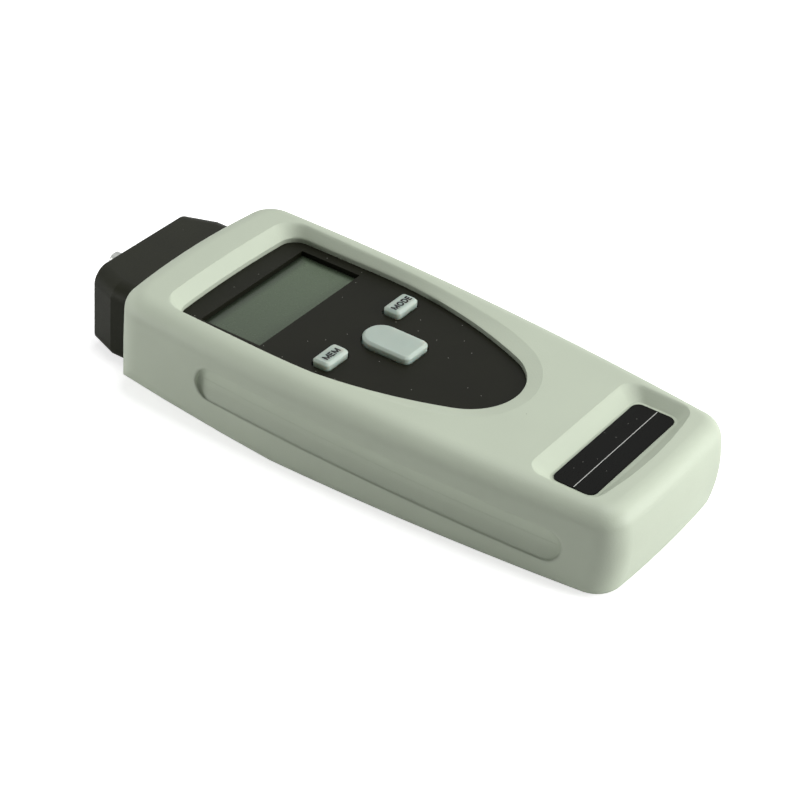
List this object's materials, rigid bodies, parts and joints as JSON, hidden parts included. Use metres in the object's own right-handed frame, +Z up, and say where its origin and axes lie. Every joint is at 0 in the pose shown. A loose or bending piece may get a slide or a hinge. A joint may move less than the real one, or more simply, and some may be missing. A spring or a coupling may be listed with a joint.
{
  "type": "digital tachometer",
  "caption": "Slim hand-held digital tachometer with a display window, a shield-shaped key panel, a black measuring head and a contact shaft that turns.",
  "frame": {"origin": "middle of the object's plan, shaft included, on the plane that its underside lies on", "axes": "+Y from the tail to the measuring head and along the shaft, +Z up through the display, +X across, towards the MODE key"},
  "size_m": [0.06, 0.156, 0.0258],
  "materials": {
    "housing_plastic": "fine textured matte",
    "black_plastic": "fine matte",
    "panel_black": "satin",
    "key_plastic": "smooth satin",
    "display_glass": "grey-green, unlit",
    "white_plastic": "matte",
    "mat_rubber": "matte",
    "board_laminate": "solder resist",
    "component_black": "matte",
    "steel": "ground",
    "contact_steel": "nickel plated",
    "bronze": "sintered bronze",
    "cell_jacket": "plain printed film"
  },
  "bodies": {
    "instrument": {"housing": "housing_plastic", "rear_cover": "housing_plastic", "cell_left": "cell_jacket", "cell_right": "cell_jacket", "cell_springs": "contact_steel", "cell_contacts": "contact_steel", "circuit_board": "board_laminate", "board_parts": "component_black", "lcd_frame": "white_plastic", "lcd_glass": "display_glass", "lcd_connectors": "mat_rubber", "control_panel": "panel_black", "key_mat": "mat_rubber", "head_block": "black_plastic", "front_bearing": "bronze", "rear_bearing": "bronze", "light_barrier": "component_black", "sensor_board": "board_laminate", "board_link": "contact_steel", "cover_screws": "steel", "label_plate": "panel_black"},
    "door": {"battery_door": "housing_plastic"},
    "mem": {"mem_key": "key_plastic"},
    "mode": {"mode_key": "key_plastic"},
    "measure": {"measure_key": "key_plastic"},
    "spindle": {"shaft": "steel", "encoder_disc": "component_black", "retaining_ring": "steel"}
  },
  "joints": [
    {"name": "door_hinge", "type": "hinge", "parent": "instrument", "child": "door", "pos_m": [0, -0.015, 0.0003], "axis": [1, 0, 0], "range_deg": [0, 95]},
    {"name": "mem_press", "type": "slide", "parent": "instrument", "child": "mem", "axis": [0, 0, -1], "range_m": [0, 0.0006], "stiffness_N_per_m": 2500},
    {"name": "mode_press", "type": "slide", "parent": "instrument", "child": "mode", "axis": [0, 0, -1], "range_m": [0, 0.0006], "stiffness_N_per_m": 2500},
    {"name": "measure_press", "type": "slide", "parent": "instrument", "child": "measure", "axis": [0, 0, -1], "range_m": [0, 0.0006], "stiffness_N_per_m": 2500},
    {"name": "shaft_turn", "type": "hinge", "parent": "instrument", "child": "spindle", "pos_m": [0, 0.0732, 0.0118], "axis": [0, 1, 0], "continuous": true}
  ]
}
